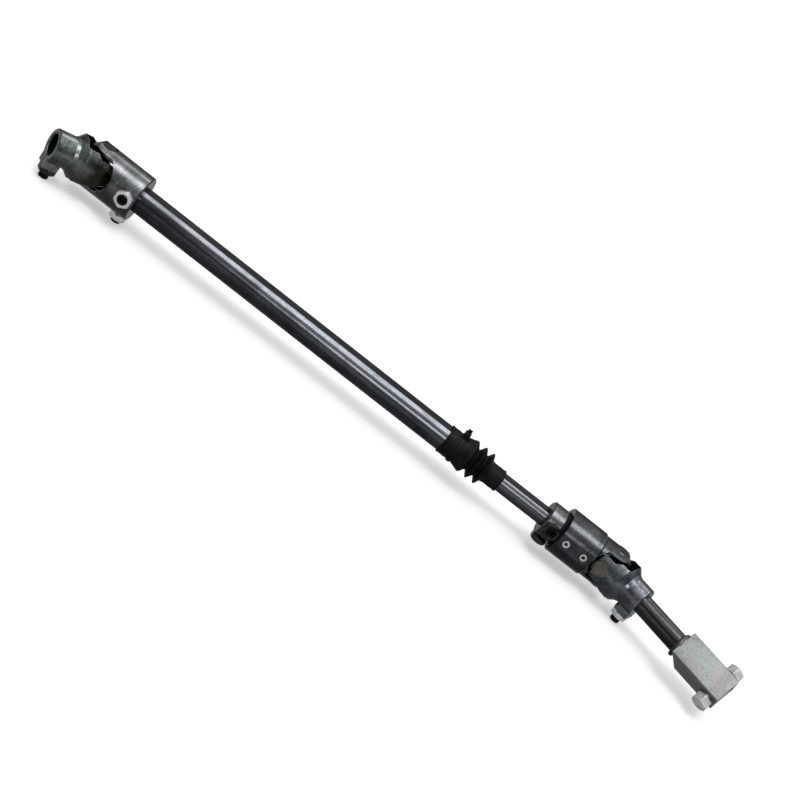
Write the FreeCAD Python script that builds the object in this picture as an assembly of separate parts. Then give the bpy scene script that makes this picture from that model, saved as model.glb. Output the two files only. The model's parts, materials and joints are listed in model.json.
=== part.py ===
import FreeCAD, Part
import math
import os

# Telescoping steering shaft with a universal joint at each end.
#
# Design frame: the main shaft lies along X with the upper joint centre at the origin, Z is up,
# and both end yokes are swung sideways towards -Y. The finished assembly is then moved so that
# the origin is at the middle of its bounding box in X and Y, on the surface that it lies on.
# Millimetres throughout.

V = FreeCAD.Vector
X, Y, Z = V(1, 0, 0), V(0, 1, 0), V(0, 0, 1)

# ---- stations along the main shaft, from the upper joint centre -------------------------------
TUBE_YOKE_END = 46.5
TUBE_START = 24.0
TUBE_END = 392.0
BOOT_START = 380.5
SHAFT_START = 240.0
SHAFT_END = 515.0
HUB_START = 494.4
HUB_FLANGE_END = 508.6
HUB_CORE_END = 542.6
HOUSING_START = 511.9
HOUSING_STEP = 547.8
LOWER_JOINT = 568.0

# ---- how far the end yokes are swung at rest, in degrees --------------------------------------
UPPER_BEND = 35.0
LOWER_BEND = 28.0

# ---- double-D sections: round radius and half the distance across the flats -------------------
TUBE_RADIUS, TUBE_FLAT = 12.7, 10.75
SHAFT_RADIUS, SHAFT_FLAT = 9.525, 7.0
SLIDE_CLEARANCE = 0.05

# ---- how far a cutting shape runs past what it cuts, and the reach for picking edges -----------
OVERRUN = 1.0
NEAR = 0.1

# ---- universal joints -------------------------------------------------------------------------
YOKE_RADIUS = 22.225
EAR_INNER = 14.0
EAR_HALF_WIDTH = 13.0
EAR_EDGE_BREAK = 1.5
TIP_CONE_START = 6.2
TIP_CONE_RADIUS = 15.4
SWING_RADIUS = 20.5
EDGE_CHAMFER = 1.0

FORGED_RADIUS = 22.0
FORGED_BLEND = 1.5
FORGED_DROP = 1.2
SLOT_ROOT_RADIUS = 4.0
FORGED_HUB_RADIUS = 15.0
FORGED_LENGTH = 44.0
FLARE_START = 6.0
FLARE_END = 17.4
SHOULDER_END = 18.6
HUB_NECK = 26.5

CUP_RADIUS = 8.0
CUP_INNER = 13.2
CUP_OUTER = 20.4
CUP_WALL = 0.92
CUP_FLOOR = 1.4
CUP_CHAMFER = 0.5
TRUNNION_RADIUS = 4.5
TRUNNION_END = 18.85
NEEDLE_RADIUS = 1.25
NEEDLE_COUNT = 14
NEEDLE_START = 13.9
BEARING_CLEARANCE = 0.04
CROSS_BODY_RADIUS = 11.0
CROSS_ARM_RADIUS = 6.4
CROSS_ARM_END = 11.4
CROSS_ARMS = (Y, -Y, Z, -Z)
SEAL_RADIUS = 7.4
SEAL_GAP = 0.1

# ---- splined bore of the upper yoke, and the plain bore of the lower one ----------------------
SPLINE_LAND_RADIUS = 10.0
SPLINE_DEPTH = 0.4
SPLINE_TEETH = 36
SPLINE_GROOVE_SHARE = 0.55
SPLINE_OVERLAP = 0.3
STUB_RADIUS = 9.525

# ---- fasteners: 3/8 inch set screws, jam nuts and bolts ---------------------------------------
SCREW_RADIUS = 4.76
SCREW_SOCKET_FLATS = 4.76
SCREW_SOCKET_DEPTH = 5.0
SCREW_CHAMFER = 0.5
NUT_FLATS = 14.3
NUT_THICKNESS = 5.6
NUT_CORNER_BREAK = 0.9
NUT_FACE_INSET = 1.5
NUT_SEAT_DEPTH = 0.6
NUT_SEAT_RADIUS = 8.15
THREAD_CLEARANCE = 0.02
STAND_HEIGHT = 30.5
TUBE_SCREW_PROUD = 1.0
HUB_SCREW_PROUD = 0.3
TUBE_SCREW_STATION = 38.0
FORGED_SCREW_STATION = 36.0
BOSS_FACE = 19.5
BOSS_HALF_WIDTH = 8.4
HUB_SCREW_STATION = 503.2
BOLT_HEAD_HEIGHT = 8.0
WASHER_RADIUS = 7.9
WASHER_THICKNESS = 2.0
WASHER_GAP = 1.6

# ---- rubber-cushioned coupling ----------------------------------------------------------------
HUB_RADIUS = 16.75
HUB_CORE_RADIUS = 12.5
HOUSING_RADIUS = 22.5
HOUSING_EAR_RADIUS = 21.2
HOUSING_BORE_RADIUS = 17.5
HOUSING_BORE_END = 544.0
HOUSING_FLAT = 21.6
HOUSING_LAND_START = 3.0
HOUSING_STEP_RUN = 1.4
HOUSING_CHAMFER = 0.7
HUB_BORE_RELIEF = 0.5
RUBBER_LIP_RADIUS = 16.0
RUBBER_CLEARANCE = 0.05
RUBBER_LIP_GAP = 0.3
RUBBER_LIP_TAPER = 1.6
PIN_STATIONS = (520.2, 539.6)
PIN_RADIUS = 3.3
PIN_HOLE_RADIUS = 1.8
PIN_OUTER, PIN_INNER = 21.9, 7.5
PIN_SLOT_RADIUS = 4.4

# ---- boot and its tie -------------------------------------------------------------------------
BOOT_WALL = 1.0
BOOT_COLLAR = 17.3
BOOT_FOLD_RADIUS = 16.5
BOOT_VALLEY_RADIUS = 10.9
BOOT_FOLDS = (26.3, 35.6, 44.1)
BOOT_VALLEYS = (31.1, 40.1, 47.6)
BOOT_LENGTH = 64.5
BOOT_FIT = 0.05
BOOT_SMALL_WALL = 1.2
TIE_START, TIE_WIDTH, TIE_THICKNESS = 11.6, 4.0, 1.1
TIE_HEAD = V(5.2, 6.4, 7.0)
TIE_HEAD_LIFT = 0.2
TIE_HEAD_ROUND = 1.2

# ---- stub shaft and rectangular coupler, measured from the lower joint centre -----------------
STUB_START = 23.0
COUPLER_START = 93.0
COUPLER_LENGTH = 54.5
COUPLER_LONG_SIDE = 28.0
COUPLER_SHORT_SIDE = 22.0
COUPLER_WALL = 4.5
CAVITY_DEPTH = 38.0
STUB_SOCKET_DEPTH = 13.0
WELD_LEG = 2.8
WELD_TOE = 0.3
COUPLER_CORNER = 1.2
COUPLER_LEAN = 45.0
CLAMP_BOLT_FROM_MOUTH = 8.6


def rod(radius, start, end, direction=X, through=V(0, 0, 0)):
    """A round bar along direction, from start to end as measured from the point through."""
    return Part.makeCylinder(radius, end - start, through + direction * start, direction)


def double_d(radius, half_flat, start, end):
    """A bar along X that is round to radius and has flats facing up and down."""
    slab = Part.makeBox(end - start, 4 * radius, 2 * half_flat, V(start, -2 * radius, -half_flat))
    return rod(radius, start, end).common(slab)


def turned(profile):
    """A solid turned about X from (x, radius) points that start and end on the axis."""
    points = [V(x, r, 0) for x, r in profile]
    return Part.Face(Part.makePolygon(points + [points[0]])).revolve(V(0, 0, 0), X, 360)


def prism(points, depth):
    """A closed outline pushed along the vector depth."""
    return Part.Face(Part.makePolygon(points + [points[0]])).extrude(depth)


def hexagon(flats, height, centre, direction):
    """A six-sided prism standing on centre; two of its flats face along X where that is possible."""
    across = direction.cross(X)
    side = across.cross(direction)
    corner = flats / math.sqrt(3)
    turns = [math.radians(30 + 60 * i) for i in range(6)]
    points = [centre + side * (corner * math.cos(a)) + across * (corner * math.sin(a)) for a in turns]
    return prism(points, direction * height)


def placed(shape, origin, x_dir, y_dir):
    """The shape moved from its own frame to the one with this origin and these directions."""
    z_dir = x_dir.cross(y_dir)
    matrix = FreeCAD.Matrix(
        x_dir.x, y_dir.x, z_dir.x, origin.x,
        x_dir.y, y_dir.y, z_dir.y, origin.y,
        x_dir.z, y_dir.z, z_dir.z, origin.z,
        0, 0, 0, 1,
    )
    return shape.transformed(matrix, True)


def group(solids):
    """Separate solids that share one node."""
    return Part.makeCompound(solids)


# ---- fasteners --------------------------------------------------------------------------------
def set_screw(centre, direction, inner, outer):
    """A socket set screw from inner to outer along direction, its socket in the outer end."""
    screw = rod(SCREW_RADIUS, inner, outer, direction, centre)
    rim = [edge for edge in screw.Edges if len(edge.Vertexes) == 1]
    screw = screw.makeChamfer(SCREW_CHAMFER, rim)
    floor = centre + direction * (outer - SCREW_SOCKET_DEPTH)
    return screw.cut(hexagon(SCREW_SOCKET_FLATS, SCREW_SOCKET_DEPTH + OVERRUN, floor, direction))


def with_broken_corners(hexagonal, centre, direction, height, both_ends):
    """A hexagonal nut or bolt head with its corners turned off to a cone at one or both ends."""
    corner = NUT_FLATS / math.sqrt(3) + NEAR
    face = corner - NUT_FACE_INSET
    foot = face if both_ends else corner
    rise = NUT_CORNER_BREAK
    profile = [(0, 0), (0, foot), (rise, corner), (height - rise, corner), (height, face), (height, 0)]
    side = direction.cross(X)
    return hexagonal.common(placed(turned(profile), centre, direction, side))


def jam_nut(centre, direction, seat):
    """A thin hexagon nut sitting at the distance seat from centre."""
    foot = centre + direction * seat
    blank = hexagon(NUT_FLATS, NUT_THICKNESS, foot, direction)
    blank = with_broken_corners(blank, foot, direction, NUT_THICKNESS, True)
    return blank.cut(screw_hole(foot, direction, -OVERRUN, NUT_THICKNESS + OVERRUN))


def screw_hole(centre, direction, inner, outer):
    """What is cut away for a screw's thread."""
    return rod(SCREW_RADIUS + THREAD_CLEARANCE, inner, outer, direction, centre)


# ---- yokes, each with its joint centre at the origin, hub along +X and pins along Z -----------
def tip_profile(radius, end):
    """The turned outside of a yoke: a cone at the ear tips, then a cylinder to end."""
    return [
        (-EAR_HALF_WIDTH - OVERRUN, 0),
        (-EAR_HALF_WIDTH - OVERRUN, TIP_CONE_RADIUS - OVERRUN),
        (-TIP_CONE_START, radius),
        (end, radius),
        (end, 0),
    ]


def pin_bores(yoke):
    """The yoke with the holes for its two bearing cups."""
    return yoke.cut(rod(CUP_RADIUS, -2 * YOKE_RADIUS, 2 * YOKE_RADIUS, Z))


def machined_ears(radius, reach):
    """Two parallel ears with round tips, flat sides and broken inner edges."""
    inner, half = EAR_INNER, EAR_HALF_WIDTH
    brk, top = EAR_EDGE_BREAK, radius + 2 * OVERRUN
    section = [(brk - half, inner), (half - brk, inner), (half, inner + brk), (half, top),
               (-half, top), (-half, inner + brk)]
    blank = prism([V(-half - OVERRUN, y, z) for y, z in section], X * (reach + half + OVERRUN))
    blank = blank.common(turned(tip_profile(radius, reach)))
    round_tip = rod(half, 0, top + OVERRUN, Z)
    behind = Part.makeBox(reach, 2 * half, top + OVERRUN, V(0, -half, 0))
    ear = blank.common(round_tip.fuse(behind))
    return ear.fuse(ear.mirror(V(0, 0, 0), Z))


def machined_yoke(body, ear_radius):
    """A turned body with a hollow end face that clears the other yoke, and two ears."""
    clearance = rod(SWING_RADIUS, -2 * YOKE_RADIUS, 2 * YOKE_RADIUS, Y)
    body = body.cut(clearance)
    yoke = body.fuse(machined_ears(ear_radius, SWING_RADIUS)).removeSplitter()
    return pin_bores(yoke)


def forged_yoke(bore):
    """A forged yoke: flared ears, a shoulder, a necked hub and a set-screw boss towards -Y."""
    half = EAR_HALF_WIDTH
    outside = turned([
        (-half - OVERRUN, 0),
        (-half - OVERRUN, TIP_CONE_RADIUS - OVERRUN),
        (-TIP_CONE_START, FORGED_RADIUS),
        (SHOULDER_END, FORGED_RADIUS),
        (SHOULDER_END + FORGED_BLEND, FORGED_RADIUS - FORGED_DROP),
        (HUB_NECK - FORGED_BLEND, FORGED_HUB_RADIUS + FORGED_DROP),
        (HUB_NECK + FORGED_BLEND, FORGED_HUB_RADIUS),
        (FORGED_LENGTH - EDGE_CHAMFER, FORGED_HUB_RADIUS),
        (FORGED_LENGTH, FORGED_HUB_RADIUS - EDGE_CHAMFER),
        (FORGED_LENGTH, 0),
    ])
    height = 2 * FORGED_RADIUS + 4 * OVERRUN
    outline = [V(0, half, 0), V(FLARE_START, half, 0), V(FLARE_END, FORGED_RADIUS, 0),
               V(FORGED_LENGTH, FORGED_RADIUS, 0), V(FORGED_LENGTH, -FORGED_RADIUS, 0),
               V(FLARE_END, -FORGED_RADIUS, 0), V(FLARE_START, -half, 0), V(0, -half, 0)]
    tip = Part.Arc(V(0, -half, 0), V(-half, 0, 0), V(0, half, 0)).toShape()
    sides = [Part.makeLine(a, b) for a, b in zip(outline, outline[1:])]
    plan = Part.Face(Part.Wire(sides + [tip])).extrude(Z * height)
    plan.translate(Z * (-height / 2))
    yoke = outside.common(plan)

    slot = Part.makeBox(SWING_RADIUS + 2 * half, 4 * half, 2 * EAR_INNER,
                        V(-2 * half, -2 * half, -EAR_INNER))
    root = [edge for edge in slot.Edges
            if abs(edge.CenterOfMass.x - SWING_RADIUS) < NEAR and abs(edge.CenterOfMass.y) < NEAR]
    yoke = yoke.cut(slot.makeFillet(SLOT_ROOT_RADIUS, root))
    brk = EAR_EDGE_BREAK
    for side in (-1, 1):
        for lift in (-1, 1):
            edge = [V(-half - OVERRUN, side * (half - brk), lift * EAR_INNER),
                    V(-half - OVERRUN, side * (half + brk), lift * EAR_INNER),
                    V(-half - OVERRUN, side * (half + brk), lift * (EAR_INNER + 2 * brk))]
            yoke = yoke.cut(prism(edge, X * (half + OVERRUN + FLARE_START)))

    station = V(FORGED_SCREW_STATION, 0, 0)
    pad = rod(BOSS_HALF_WIDTH, 0, BOSS_FACE, -Y, station)
    block = Part.makeBox(FORGED_LENGTH - FORGED_SCREW_STATION, BOSS_FACE, 2 * BOSS_HALF_WIDTH,
                         V(FORGED_SCREW_STATION, -BOSS_FACE, -BOSS_HALF_WIDTH))
    yoke = yoke.fuse(pad.fuse(block)).removeSplitter()
    yoke = yoke.cut(bore).cut(screw_hole(station, -Y, 0, BOSS_FACE + OVERRUN))
    return pin_bores(yoke)


def splined_bore():
    """The upper bore: narrow lands at the land radius, with a V groove between each pair."""
    end = FORGED_LENGTH + OVERRUN
    bore = rod(SPLINE_LAND_RADIUS, 0, end)
    half_width = SPLINE_GROOVE_SHARE * math.pi * SPLINE_LAND_RADIUS / SPLINE_TEETH
    root = SPLINE_LAND_RADIUS + SPLINE_DEPTH
    foot = SPLINE_LAND_RADIUS - SPLINE_OVERLAP
    groove = prism([V(0, -half_width, foot), V(0, half_width, foot), V(0, 0, root)], X * end)
    for tooth in range(SPLINE_TEETH):
        cutter = groove.copy()
        cutter.rotate(V(0, 0, 0), X, 360 * tooth / SPLINE_TEETH)
        bore = bore.fuse(cutter)
    mouth = Part.makeCone(SPLINE_LAND_RADIUS, root + EDGE_CHAMFER, EDGE_CHAMFER + OVERRUN,
                          V(FORGED_LENGTH - EDGE_CHAMFER, 0, 0), X)
    return bore.fuse(mouth)


# ---- bearings and crosses, in a frame with the joint centre at the origin ---------------------
def bearing_cups():
    """Two drawn cups, one in each ear, pins along Z."""
    cup = rod(CUP_RADIUS, CUP_INNER, CUP_OUTER, Z)
    rim = [e for e in cup.Edges if len(e.Vertexes) == 1 and e.CenterOfMass.z > CUP_OUTER - NEAR]
    cup = cup.makeChamfer(CUP_CHAMFER, rim)
    cup = cup.cut(rod(CUP_RADIUS - CUP_WALL, CUP_INNER - OVERRUN, CUP_OUTER - CUP_FLOOR, Z))
    return group([cup, cup.mirror(V(0, 0, 0), Z)])


def needle_rollers():
    """A full ring of rollers between each trunnion and its cup."""
    ring = TRUNNION_RADIUS + NEEDLE_RADIUS + BEARING_CLEARANCE
    rollers = []
    for turn in range(NEEDLE_COUNT):
        angle = 2 * math.pi * turn / NEEDLE_COUNT
        at = V(ring * math.cos(angle), ring * math.sin(angle), 0)
        roller = rod(NEEDLE_RADIUS, NEEDLE_START, TRUNNION_END, Z, at)
        rollers += [roller, roller.mirror(V(0, 0, 0), Z)]
    return group(rollers)


def cross():
    """A four-armed spider with ground trunnions."""
    body = Part.makeSphere(CROSS_BODY_RADIUS)
    for arm in CROSS_ARMS:
        body = body.fuse(rod(CROSS_ARM_RADIUS, 0, CROSS_ARM_END, arm))
        body = body.fuse(rod(TRUNNION_RADIUS, 0, TRUNNION_END, arm))
    return body.removeSplitter()


def cross_seals():
    """A rubber dust ring at the foot of each trunnion."""
    rings = []
    for arm in CROSS_ARMS:
        ring = rod(SEAL_RADIUS, CROSS_ARM_END, CUP_INNER - SEAL_GAP, arm)
        rings.append(ring.cut(rod(TRUNNION_RADIUS, 0, 2 * CUP_INNER, arm)))
    return group(rings)


# ---- main shaft -------------------------------------------------------------------------------
def tube_yoke():
    """The yoke on the tube: a turned body with ears, and two screws that clamp the tube."""
    body = turned([(0, 0), (0, YOKE_RADIUS), (TUBE_YOKE_END - EDGE_CHAMFER, YOKE_RADIUS),
                   (TUBE_YOKE_END, YOKE_RADIUS - EDGE_CHAMFER), (TUBE_YOKE_END, 0)])
    yoke = machined_yoke(body, YOKE_RADIUS)
    yoke = yoke.cut(double_d(TUBE_RADIUS, TUBE_FLAT, 0, TUBE_YOKE_END + OVERRUN))
    at = V(TUBE_SCREW_STATION, 0, 0)
    for direction in (-Y, -Z):
        yoke = yoke.cut(screw_hole(at, direction, 0, YOKE_RADIUS + OVERRUN))
        seat = YOKE_RADIUS - NUT_SEAT_DEPTH
        yoke = yoke.cut(rod(NUT_SEAT_RADIUS, seat, YOKE_RADIUS + OVERRUN, direction, at))
    return yoke


def outer_tube():
    """A double-D tube that the inner shaft slides in."""
    outside = double_d(TUBE_RADIUS, TUBE_FLAT, TUBE_START, TUBE_END)
    inside = double_d(SHAFT_RADIUS + SLIDE_CLEARANCE, SHAFT_FLAT + SLIDE_CLEARANCE,
                      TUBE_START - OVERRUN, TUBE_END + OVERRUN)
    return outside.cut(inside)


def inner_shaft():
    """A double-D bar with its free end chamfered."""
    shaft = double_d(SHAFT_RADIUS, SHAFT_FLAT, SHAFT_START, SHAFT_END)
    nose = turned([(SHAFT_START, 0), (SHAFT_START, SHAFT_RADIUS - EDGE_CHAMFER),
                   (SHAFT_START + EDGE_CHAMFER, SHAFT_RADIUS), (SHAFT_END, SHAFT_RADIUS), (SHAFT_END, 0)])
    return shaft.common(nose)


def boot_profile(inset):
    """The (x, radius) points of the folded part of the boot, inset from its outside."""
    points = [(BOOT_COLLAR, TUBE_RADIUS + BOOT_FIT + BOOT_WALL)]
    for fold, valley in zip(BOOT_FOLDS, BOOT_VALLEYS):
        points += [(fold, BOOT_FOLD_RADIUS), (valley, BOOT_VALLEY_RADIUS)]
    return [(BOOT_START + x, r - inset) for x, r in points]


def boot():
    """A rubber boot: a collar on the tube, three folds, and a collar on the inner shaft."""
    outer, inner = boot_profile(0), boot_profile(BOOT_WALL)
    folds = turned(outer + inner[::-1])
    big = double_d(TUBE_RADIUS + BOOT_FIT + BOOT_WALL, TUBE_FLAT + BOOT_FIT + BOOT_WALL,
                   BOOT_START, BOOT_START + BOOT_COLLAR)
    big = big.cut(double_d(TUBE_RADIUS + BOOT_FIT, TUBE_FLAT + BOOT_FIT, 0, LOWER_JOINT))
    shoulder = turned([(BOOT_START + BOOT_COLLAR, 0), (BOOT_START + BOOT_COLLAR, outer[0][1]),
                       (BOOT_START + BOOT_COLLAR - BOOT_WALL, outer[0][1]),
                       (BOOT_START + BOOT_COLLAR - BOOT_WALL, 0)])
    shoulder = shoulder.cut(double_d(TUBE_RADIUS + BOOT_FIT, TUBE_FLAT + BOOT_FIT, 0, LOWER_JOINT))
    wall = BOOT_FIT + BOOT_SMALL_WALL
    neck = BOOT_START + BOOT_VALLEYS[-1]
    small = double_d(SHAFT_RADIUS + wall, SHAFT_FLAT + wall, neck - BOOT_WALL, BOOT_START + BOOT_LENGTH)
    ring = turned([(neck - BOOT_WALL, 0), (neck - BOOT_WALL, BOOT_VALLEY_RADIUS), (neck, BOOT_VALLEY_RADIUS),
                   (neck, 0)])
    small = small.fuse(ring)
    small = small.cut(double_d(SHAFT_RADIUS + BOOT_FIT, SHAFT_FLAT + BOOT_FIT, 0, LOWER_JOINT))
    return folds.fuse([big, shoulder, small]).removeSplitter()


def boot_tie():
    """A plastic cable tie round the boot's large collar, its head standing on top."""
    collar = BOOT_FIT + BOOT_WALL
    start, end = BOOT_START + TIE_START, BOOT_START + TIE_START + TIE_WIDTH
    inside = double_d(TUBE_RADIUS + collar + BOOT_FIT, TUBE_FLAT + collar + BOOT_FIT, 0, LOWER_JOINT)
    outer = collar + BOOT_FIT + TIE_THICKNESS
    strap = double_d(TUBE_RADIUS + outer, TUBE_FLAT + outer, start, end).cut(inside)
    foot = V((start + end - TIE_HEAD.x) / 2, -TIE_HEAD.y / 2, TUBE_FLAT + collar + BOOT_FIT + TIE_HEAD_LIFT)
    head = Part.makeBox(TIE_HEAD.x, TIE_HEAD.y, TIE_HEAD.z, foot)
    uprights = [e for e in head.Edges if abs(e.Vertexes[0].Z - e.Vertexes[1].Z) > TIE_HEAD.z / 2]
    return strap.fuse(head.makeFillet(TIE_HEAD_ROUND, uprights)).removeSplitter()


# ---- rubber-cushioned coupling ----------------------------------------------------------------
def damper_hub():
    """A flanged hub on the inner shaft with a solid core inside the housing."""
    hub = turned([(HUB_START, 0), (HUB_START, HUB_RADIUS - EDGE_CHAMFER),
                  (HUB_START + EDGE_CHAMFER, HUB_RADIUS), (HUB_FLANGE_END, HUB_RADIUS),
                  (HUB_FLANGE_END, HUB_CORE_RADIUS), (HUB_CORE_END, HUB_CORE_RADIUS), (HUB_CORE_END, 0)])
    hub = hub.cut(double_d(SHAFT_RADIUS, SHAFT_FLAT, HUB_START - OVERRUN, SHAFT_END + HUB_BORE_RELIEF))
    at = V(HUB_SCREW_STATION, 0, 0)
    for direction in (-Y, -Z):
        hub = hub.cut(screw_hole(at, direction, 0, HUB_RADIUS + OVERRUN))
    for station in PIN_STATIONS:
        at = V(station, 0, 0)
        hub = hub.cut(rod(PIN_SLOT_RADIUS, PIN_INNER - OVERRUN, HUB_CORE_RADIUS + OVERRUN, -Y, at))
    return hub


def damper_rubber():
    """The sleeve bonded round the core, with a lip that shows at the housing's mouth."""
    outside = HOUSING_BORE_RADIUS - RUBBER_CLEARANCE
    sleeve = turned([(HUB_FLANGE_END, HUB_CORE_RADIUS), (HUB_FLANGE_END, RUBBER_LIP_RADIUS),
                     (HOUSING_START + RUBBER_LIP_GAP, RUBBER_LIP_RADIUS),
                     (HOUSING_START + RUBBER_LIP_TAPER, outside),
                     (HUB_CORE_END, outside), (HUB_CORE_END, HUB_CORE_RADIUS)])
    for station in PIN_STATIONS:
        sleeve = sleeve.cut(rod(PIN_SLOT_RADIUS, 0, 2 * HOUSING_RADIUS, -Y, V(station, 0, 0)))
    return sleeve


def damper_yoke():
    """The housing and the upper half of the lower joint in one piece."""
    step, end = LOWER_JOINT - HOUSING_STEP, LOWER_JOINT - HOUSING_START
    body = turned([(0, 0), (0, HOUSING_EAR_RADIUS), (step - HOUSING_STEP_RUN, HOUSING_EAR_RADIUS),
                   (step, HOUSING_RADIUS), (end - HOUSING_CHAMFER, HOUSING_RADIUS),
                   (end, HOUSING_RADIUS - HOUSING_CHAMFER), (end, 0)])
    yoke = machined_yoke(body, HOUSING_EAR_RADIUS)
    yoke = yoke.cut(rod(HOUSING_BORE_RADIUS, LOWER_JOINT - HOUSING_BORE_END, end + OVERRUN))
    yoke = placed(yoke, V(LOWER_JOINT, 0, 0), -X, -Y)
    land_start = HOUSING_START + HOUSING_LAND_START
    depth = 2 * (HOUSING_RADIUS - HOUSING_FLAT)
    land = Part.makeBox(HOUSING_STEP - land_start, depth, 2 * HOUSING_RADIUS,
                        V(land_start, -HOUSING_FLAT - depth, -HOUSING_RADIUS))
    yoke = yoke.cut(land)
    for station in PIN_STATIONS:
        yoke = yoke.cut(rod(PIN_RADIUS, 0, HOUSING_RADIUS + OVERRUN, -Y, V(station, 0, 0)))
    return yoke


def damper_pins():
    """Hollow pins pressed into the housing, loose in the core's slots: the stops of the coupling."""
    pins = []
    for station in PIN_STATIONS:
        at = V(station, 0, 0)
        pin = rod(PIN_RADIUS, PIN_INNER, PIN_OUTER, -Y, at)
        pins.append(pin.cut(rod(PIN_HOLE_RADIUS, PIN_INNER - OVERRUN, PIN_OUTER + OVERRUN, -Y, at)))
    return group(pins)


# ---- stub shaft and coupler, along X from the lower joint centre ------------------------------
def stub_shaft():
    """The round bar between the lower yoke and the coupler."""
    end = COUPLER_START + STUB_SOCKET_DEPTH
    return turned([(STUB_START, 0), (STUB_START, STUB_RADIUS - EDGE_CHAMFER),
                   (STUB_START + EDGE_CHAMFER, STUB_RADIUS), (end, STUB_RADIUS), (end, 0)])


def column_coupler():
    """A rectangular socket for the steering column, long side along Y, welded to the stub."""
    length, wide, tall = COUPLER_LENGTH, COUPLER_LONG_SIDE, COUPLER_SHORT_SIDE
    box = Part.makeBox(length, wide, tall, V(COUPLER_START, -wide / 2, -tall / 2))
    corners = [e for e in box.Edges if abs(e.Vertexes[0].X - e.Vertexes[1].X) > length / 2]
    box = box.makeFillet(COUPLER_CORNER, corners)
    mouth = COUPLER_START + length
    cavity = Part.makeBox(CAVITY_DEPTH + OVERRUN, wide - 2 * COUPLER_WALL, tall - 2 * COUPLER_WALL,
                          V(mouth - CAVITY_DEPTH, COUPLER_WALL - wide / 2, COUPLER_WALL - tall / 2))
    weld = turned([(COUPLER_START - WELD_LEG, 0), (COUPLER_START - WELD_LEG, STUB_RADIUS + WELD_TOE),
                   (COUPLER_START - WELD_TOE, STUB_RADIUS + WELD_LEG),
                   (COUPLER_START + OVERRUN, STUB_RADIUS + WELD_LEG), (COUPLER_START + OVERRUN, 0)])
    coupler = box.fuse(weld).cut(cavity)
    coupler = coupler.cut(rod(STUB_RADIUS, 0, COUPLER_START + STUB_SOCKET_DEPTH))
    at = V(mouth - CLAMP_BOLT_FROM_MOUTH, 0, 0)
    return coupler.cut(screw_hole(at, Y, -wide, wide))


def clamp_bolts():
    """Two bolts that close on the column's flats from the coupler's narrow sides."""
    at = V(COUPLER_START + COUPLER_LENGTH - CLAMP_BOLT_FROM_MOUTH, 0, 0)
    seat = COUPLER_LONG_SIDE / 2 + WASHER_THICKNESS
    bolts = []
    for direction in (Y, -Y):
        foot = at + direction * seat
        head = hexagon(NUT_FLATS, BOLT_HEAD_HEIGHT, foot, direction)
        head = with_broken_corners(head, foot, direction, BOLT_HEAD_HEIGHT, False)
        shank = rod(SCREW_RADIUS, COUPLER_LONG_SIDE / 2 - COUPLER_WALL, seat + OVERRUN, direction, at)
        bolts.append(head.fuse(shank).removeSplitter())
    return group(bolts)


def clamp_washers():
    """A split lock washer under each clamp bolt's head."""
    at = V(COUPLER_START + COUPLER_LENGTH - CLAMP_BOLT_FROM_MOUTH, 0, 0)
    seat = COUPLER_LONG_SIDE / 2
    washers = []
    for direction in (Y, -Y):
        ring = rod(WASHER_RADIUS, seat, seat + WASHER_THICKNESS, direction, at)
        ring = ring.cut(screw_hole(at, direction, seat - OVERRUN, seat + WASHER_THICKNESS + OVERRUN))
        split = Part.makeBox(WASHER_RADIUS + OVERRUN, 4 * COUPLER_LONG_SIDE, WASHER_GAP,
                             at + V(0, -2 * COUPLER_LONG_SIDE, -WASHER_GAP / 2))
        washers.append(ring.cut(split))
    return group(washers)


# ---- assembly ---------------------------------------------------------------------------------
def main_shaft_nodes():
    """Everything that lies along the main shaft, by node name."""
    yoke_at = V(TUBE_SCREW_STATION, 0, 0)
    hub_at = V(HUB_SCREW_STATION, 0, 0)
    seat = YOKE_RADIUS - NUT_SEAT_DEPTH
    front_tip = seat + NUT_THICKNESS + TUBE_SCREW_PROUD
    hub_tip = HUB_RADIUS + NUT_THICKNESS + HUB_SCREW_PROUD
    return {
        "outer_tube": outer_tube(),
        "tube_yoke": tube_yoke(),
        "tube_yoke_bearing_cups": bearing_cups(),
        "tube_yoke_needles": needle_rollers(),
        "tube_yoke_set_screws": group([
            set_screw(yoke_at, -Y, TUBE_RADIUS, front_tip),
            set_screw(yoke_at, -Z, TUBE_FLAT, STAND_HEIGHT),
        ]),
        "tube_yoke_jam_nuts": group([jam_nut(yoke_at, -Y, seat), jam_nut(yoke_at, -Z, seat)]),
        "boot": boot(),
        "boot_tie": boot_tie(),
        "inner_shaft": inner_shaft(),
        "damper_hub": damper_hub(),
        "damper_rubber": damper_rubber(),
        "damper_hub_set_screws": group([
            set_screw(hub_at, -Y, SHAFT_RADIUS, hub_tip),
            set_screw(hub_at, -Z, SHAFT_FLAT, hub_tip),
        ]),
        "damper_hub_jam_nuts": group([jam_nut(hub_at, -Y, HUB_RADIUS), jam_nut(hub_at, -Z, HUB_RADIUS)]),
        "damper_yoke": damper_yoke(),
        "damper_pins": damper_pins(),
        "damper_yoke_bearing_cups": bearing_cups().translated(V(LOWER_JOINT, 0, 0)),
        "damper_yoke_needles": needle_rollers().translated(V(LOWER_JOINT, 0, 0)),
    }


def end_yoke_nodes(name, bore, screw_inner):
    """A forged yoke with its bearings and set screw, in the yoke's own frame."""
    at = V(FORGED_SCREW_STATION, 0, 0)
    return {
        name: forged_yoke(bore),
        name + "_bearing_cups": bearing_cups(),
        name + "_needles": needle_rollers(),
        name + "_set_screw": set_screw(at, -Y, screw_inner, STAND_HEIGHT),
        name + "_jam_nut": jam_nut(at, -Y, BOSS_FACE),
    }


def coupler_turn():
    """The direction of the coupler's long side, which leans from upright about the stub."""
    lean = math.radians(COUPLER_LEAN)
    return V(0, -math.cos(lean), math.sin(lean))


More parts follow.
